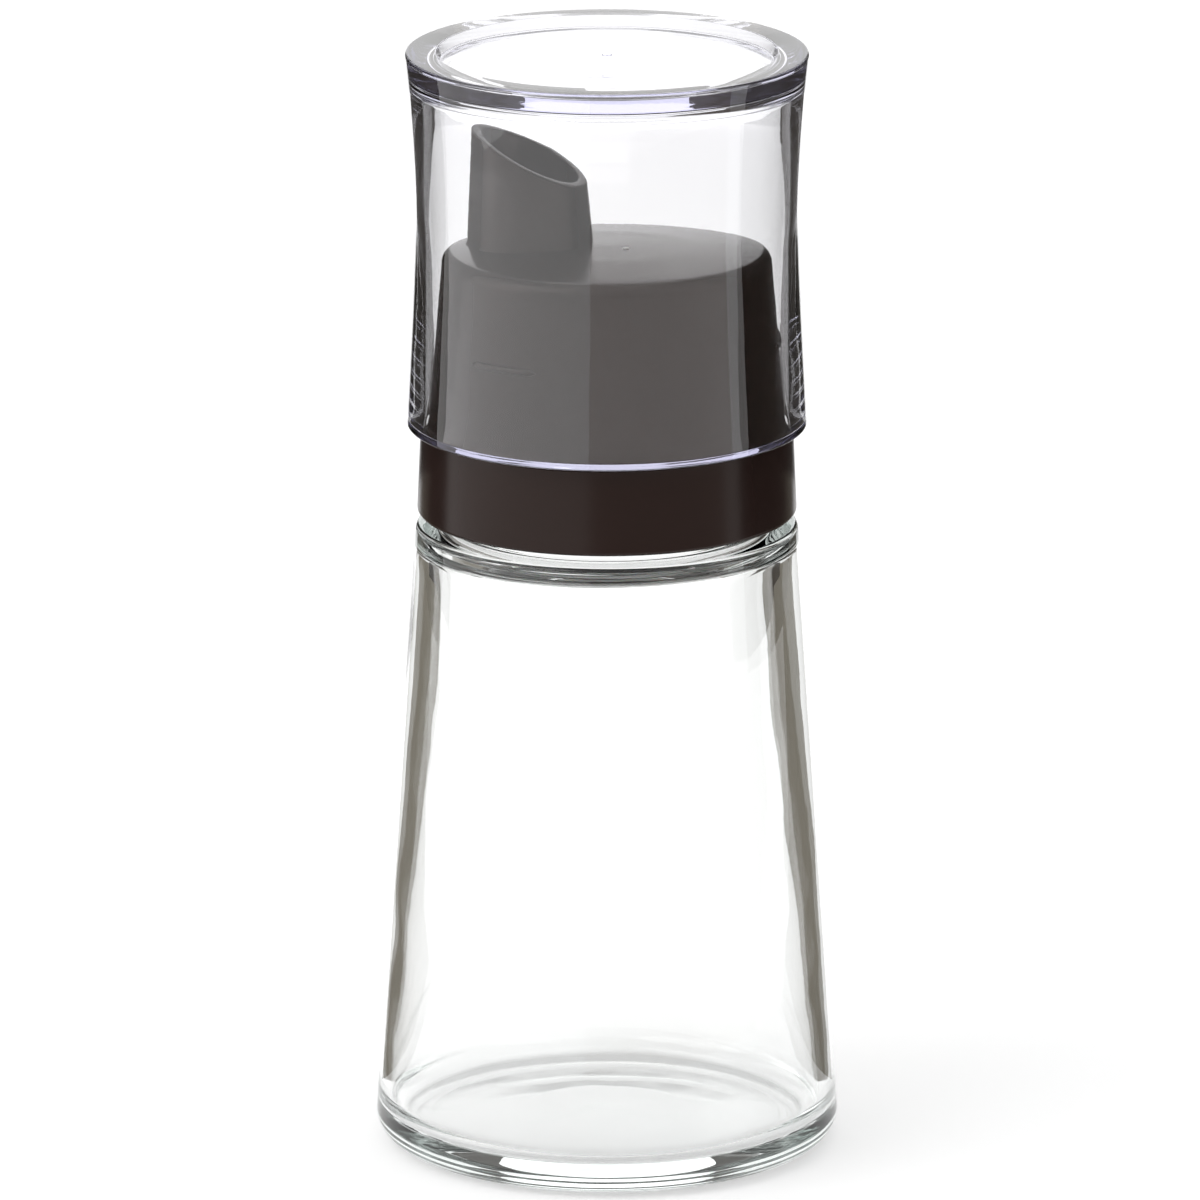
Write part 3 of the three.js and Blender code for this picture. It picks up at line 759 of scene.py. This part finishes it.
def clear_plastic():
    """Clear plastic, faintly violet where it is thick, with soft ripples and a few dull smudges."""
    material, tree, shader, place = new_material("clear_plastic")
    pattern = surface(tree, place, *CLEAR_PATTERN_SIZES)
    shader.inputs["Transmission Weight"].default_value = 1
    shader.inputs["IOR"].default_value = CLEAR_IOR
    tree.links.new(tint(tree, pattern["Smudge"], *CLEAR_TINTS), shader.inputs["Base Color"])
    tree.links.new(between(tree, pattern["Smudge"], *CLEAR_ROUGHNESS), shader.inputs["Roughness"])
    ripple = bumped(tree, pattern["Ripple"], CLEAR_RIPPLE_DEPTH)
    tree.links.new(bumped(tree, pattern["Grain"], CLEAR_GRAIN_DEPTH, ripple), shader.inputs["Normal"])
    absorption = add_node(tree, "ShaderNodeVolumeAbsorption", {
        "Color": CLEAR_VIOLET, "Density": CLEAR_VIOLET_DENSITY}).outputs[0]
    tree.links.new(absorption, tree.nodes["Material Output"].inputs["Volume"])
    return material


cap_foot = cap_low.z
cap_top = cap_high.z
cap_bore = dome_radius + CAP_CLEARANCE
cap_bore_top = cap_bore - CAP_BORE_DRAFT
foot_radius = cap_bore + CAP_FOOT_WALL
waist_radius = foot_radius - CAP_WAIST
waist_height = cap_foot + CAP_WAIST_HEIGHT
rim_radius = waist_radius + CAP_FLARE
recess_radius = rim_radius - CAP_RIM_WIDTH
dish_radius = recess_radius - CAP_RECESS / 2
dish_height = cap_top - CAP_RECESS
dish_crown = dish_height + CAP_ROOF_CROWN
roof_under = dish_height - CAP_ROOF


def cap_wall(height):
    """The outer radius of the waisted wall at a height."""
    if height < waist_height:
        below = (waist_height - height) / CAP_WAIST_HEIGHT
        return waist_radius + CAP_WAIST * below ** CAP_LOWER_CURVE
    above = (height - waist_height) / (cap_top - waist_height)
    return waist_radius + CAP_FLARE * above ** CAP_UPPER_CURVE


wall_heights = [cap_foot + (cap_top - cap_foot) * step / CAP_WALL_STEPS for step in range(1, CAP_WALL_STEPS)]
cap = turned("cap", rounded([
    (0, roof_under + CAP_ROOF_CROWN, 0),
    (cap_bore_top / 2, roof_under + CAP_ROOF_CROWN * CROWN_HALFWAY, CAP_CROWN_ROUND),
    (cap_bore_top, roof_under, CAP_ROOF_ROUND),
    (cap_bore, cap_foot + CAP_LEAD_IN_HEIGHT, CAP_BORE_ROUND),
    (cap_bore + CAP_LEAD_IN_WIDTH, cap_foot, CAP_LEAD_IN_ROUND),
    (foot_radius, cap_foot, CAP_FOOT_ROUND),
    *[(cap_wall(height), height, 0) for height in wall_heights],
    (rim_radius, cap_top, CAP_RIM_ROUND),
    (recess_radius, cap_top, CAP_RIM_ROUND / 2),
    (dish_radius, dish_height, CAP_RIM_ROUND),
    (dish_radius / 2, dish_height + CAP_ROOF_CROWN * CROWN_HALFWAY, CAP_CROWN_ROUND),
    (CAP_MARK_RADIUS, dish_crown, 0),
    (CAP_MARK_RADIUS * CAP_MARK_TOP, dish_crown + CAP_MARK_HEIGHT, 0),
    (0, dish_crown + CAP_MARK_HEIGHT / 2, 0),
]), clear_plastic())
smooth(cap)
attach(cap, "cap")
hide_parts("clear_cap")

# Studio
# A pale paper floor in an even white room that is dimmer behind the camera, with three soft round lamps:
# one above, one on the left and one behind.
VIEW_TURN = math.radians(18)
WHITE = (1, 1, 1, 1)
FLOOR_RADIUS = 3.0
FLOOR_STEPS = 96
FLOOR_GAP = 0.0002
FLOOR_COLOUR = (0.8, 0.8, 0.8, 1)
FLOOR_ROUGHNESS = 0.9
FLOOR_LIFT = 0.40
ROOM_LIGHT = 0.8
FRONT_LIGHT = 0.5
FRONT_FADE_START = 0.35
FRONT_FADE_END = 0.95
LAMP_AIM = Vector((0, 0, 0.07))
to_right = Vector((math.cos(VIEW_TURN), math.sin(VIEW_TURN), 0))
to_back = Vector((-math.sin(VIEW_TURN), math.cos(VIEW_TURN), 0))


def stage_mesh(name, points, material):
    """A flat stage piece with its corners at the given places."""
    mesh = bpy.data.meshes.new(name)
    mesh.from_pydata(points, [], [tuple(range(len(points)))])
    mesh.materials.append(material)
    piece = bpy.data.objects.new(name, mesh)
    bpy.context.scene.collection.objects.link(piece)
    return piece


def shown_rays(tree):
    """1 for the rays that show the room to the camera, directly, in a reflection or through glass."""
    path = add_node(tree, "ShaderNodeLightPath").outputs
    mirrored = maths(tree, "MAXIMUM", path["Is Camera Ray"], path["Is Glossy Ray"])
    return maths(tree, "MAXIMUM", mirrored, path["Is Transmission Ray"])


def floor_paper():
    """Matt pale paper that looks nearly white and keeps the object's shadow."""
    material, tree, shader, _ = new_material("floor_paper")
    shader.inputs["Base Color"].default_value = FLOOR_COLOUR
    shader.inputs["Roughness"].default_value = FLOOR_ROUGHNESS
    shader.inputs["Specular IOR Level"].default_value = 0
    shader.inputs["Emission Color"].default_value = WHITE
    tree.links.new(maths(tree, "MULTIPLY", shown_rays(tree), FLOOR_LIFT), shader.inputs["Emission Strength"])
    return material


floor_edge = []
for step in range(FLOOR_STEPS):
    turn = math.tau * step / FLOOR_STEPS
    floor_edge.append((FLOOR_RADIUS * math.cos(turn), FLOOR_RADIUS * math.sin(turn), -FLOOR_GAP))
stage_mesh("floor", floor_edge, floor_paper())

world = bpy.data.worlds.new("white_room")
bpy.context.scene.world = world
world.use_nodes = True
room = world.node_tree
sky = room.nodes["Background"]
sky.inputs["Color"].default_value = WHITE
strength = add_node(room, "ShaderNodeMapRange", {"Value": shown_rays(room), "To Min": ROOM_LIGHT}).outputs[0]
look = add_node(room, "ShaderNodeTexCoord").outputs["Generated"]
to_front = vector_maths(room, "DOT_PRODUCT", {0: look, 1: -to_back})
dimmed = add_node(room, "ShaderNodeMapRange", {
    "Value": to_front, "From Min": FRONT_FADE_START, "From Max": FRONT_FADE_END, "To Min": 1.0,
    "To Max": FRONT_LIGHT}, interpolation_type="SMOOTHSTEP").outputs[0]
room.links.new(maths(room, "MULTIPLY", strength, dimmed), sky.inputs["Strength"])

# Each lamp's place to the right, back and up, its width and its power.
LAMPS = {
    "top_lamp": ((-0.7, -0.5, 1.1), 0.9, 3.0),
    "left_lamp": ((-1.1, -0.25, 0.45), 0.9, 2.4),
    "back_lamp": ((0.0, 1.7, 0.55), 1.2, 1.5),
}
for name, ((right, back, up), width, power) in LAMPS.items():
    lamp = bpy.data.lights.new(name, "AREA")
    lamp.shape = "DISK"
    lamp.size = width
    lamp.energy = power
    stand = bpy.data.objects.new(name, lamp)
    bpy.context.scene.collection.objects.link(stand)
    stand.location = right * to_right + back * to_back + Vector((0, 0, up))
    stand.rotation_euler = (LAMP_AIM - stand.location).to_track_quat("-Z", "Y").to_euler()

# Camera
# A long lens that looks down a little from in front, with the spout turned away to the left.
# It is shifted sideways a little, so that the object stands off the middle as in the photograph.
CAMERA_DISTANCE = 1.4465
CAMERA_HEIGHT = 0.4548
CAMERA_PITCH = 0.2606
FILM_WIDTH = 36
FOCAL_LENGTH = 360.1
SIDE_SHIFT = -0.0058
lens = bpy.data.cameras.new("camera")
lens.sensor_width = FILM_WIDTH
lens.lens = FOCAL_LENGTH
lens.shift_x = SIDE_SHIFT
camera = bpy.data.objects.new("camera", lens)
bpy.context.scene.collection.objects.link(camera)
camera.location = -CAMERA_DISTANCE * to_back + Vector((0, 0, CAMERA_HEIGHT))
camera.rotation_euler = (math.pi / 2 - CAMERA_PITCH, 0, VIEW_TURN)
bpy.context.scene.camera = camera

# Cards
# Sheets of cloth that stand and lie round the object, seen only in the glass and in reflections. The dark
# ones give the clear edges their dark bands, and the pale one in front is mirrored by the black lid.
# Their stand turns to face the camera, as on a turntable set, so that every side shows them.
WING_START = 0.033
WING_NEAR = 0.0
WING_FAR = 0.30
WING_SPLAY = math.radians(11.5)
WING_FOOT = 0.085
WING_FOOT_FAR = 0.0075
WING_TOP = 0.25
MAT_INNER = 0.038
MAT_SPREAD = 0.324
MAT_OUTER = 0.14
MAT_OUTER_SPREAD = 0.90
MAT_NEAR = 0.02
MAT_FAR = 0.90
MAT_RISE = 0.0005
FRONT_MAT_NEAR = 0.12
FRONT_MAT_FAR = 1.2
FRONT_MAT_START = math.radians(-10)
FRONT_MAT_SWEEP = math.radians(85)
FRONT_MAT_STEPS = 12
SCREEN_PLACE = 0.10
SCREEN_FRONTS = {-1: 0.024, 1: -0.019}
SCREEN_FAR = 0.085
SCREEN_FOOT = 0.05
SCREEN_TOP = 0.4
BLACK_CLOTH = (0.045, 0.037, 0.03, 1)
GREY_CLOTH = (0.17, 0.152, 0.118, 1)
PALE_CLOTH = (0.62, 0.53, 0.49, 1)
card_stand = bpy.data.objects.new("card_stand", None)
bpy.context.scene.collection.objects.link(card_stand)
facing = card_stand.constraints.new("LOCKED_TRACK")
facing.target = camera
facing.track_axis = "TRACK_NEGATIVE_Y"
facing.lock_axis = "LOCK_Z"


def cloth(name, colour):
    """Matt cloth of one colour."""
    material, _, shader, _ = new_material(name)
    shader.inputs["Base Color"].default_value = colour
    shader.inputs["Roughness"].default_value = 1
    return material


def card(name, corners, material):
    """A card on the stand, its corners given as right, back and up. Only glass and reflections see it."""
    piece = stage_mesh(name, corners, material)
    piece.parent = card_stand
    piece.visible_camera = False
    piece.visible_diffuse = False
    piece.visible_shadow = False
    return piece


def front_arc(radius):
    """The points of an arc on the floor in front of the object."""
    steps = range(FRONT_MAT_STEPS + 1)
    turns = [FRONT_MAT_START + FRONT_MAT_SWEEP * step / FRONT_MAT_STEPS for step in steps]
    return [(radius * math.sin(turn), -radius * math.cos(turn), MAT_RISE) for turn in turns]


black_cloth = cloth("black_cloth", BLACK_CLOTH)
grey_cloth = cloth("grey_cloth", GREY_CLOTH)
front_mat = card("front_mat", front_arc(FRONT_MAT_NEAR) + front_arc(FRONT_MAT_FAR)[::-1],
                 cloth("pale_cloth", PALE_CLOTH))
front_mat.visible_transmission = False
wing_end = WING_START + (WING_FAR - WING_NEAR) * math.tan(WING_SPLAY)
for side in (-1, 1):
    card(f"wing_{side}", [
        (side * WING_START, WING_NEAR, WING_FOOT),
        (side * wing_end, WING_FAR, WING_FOOT_FAR),
        (side * wing_end, WING_FAR, WING_TOP),
        (side * WING_START, WING_NEAR, WING_TOP)], black_cloth)
    card(f"mat_{side}", [
        (side * MAT_INNER, MAT_NEAR, MAT_RISE),
        (side * MAT_OUTER, MAT_NEAR, MAT_RISE),
        (side * (MAT_OUTER + MAT_OUTER_SPREAD), MAT_FAR, MAT_RISE),
        (side * (MAT_INNER + MAT_SPREAD), MAT_FAR, MAT_RISE)], grey_cloth)
    card(f"screen_{side}", [
        (side * SCREEN_PLACE, SCREEN_FRONTS[side], SCREEN_FOOT),
        (side * SCREEN_PLACE, SCREEN_FAR, SCREEN_FOOT),
        (side * SCREEN_PLACE, SCREEN_FAR, SCREEN_TOP),
        (side * SCREEN_PLACE, SCREEN_FRONTS[side], SCREEN_TOP)], black_cloth)

# Picture
# Plain colours, and enough bounces of light that the thick clear rims don't turn black.
MOST_BOUNCES = 24
MIRROR_BOUNCES = 16
CLEAR_BOUNCES = 16
bpy.context.scene.view_settings.view_transform = "Standard"
light_paths = bpy.context.scene.cycles
light_paths.max_bounces = MOST_BOUNCES
light_paths.glossy_bounces = MIRROR_BOUNCES
light_paths.transmission_bounces = CLEAR_BOUNCES
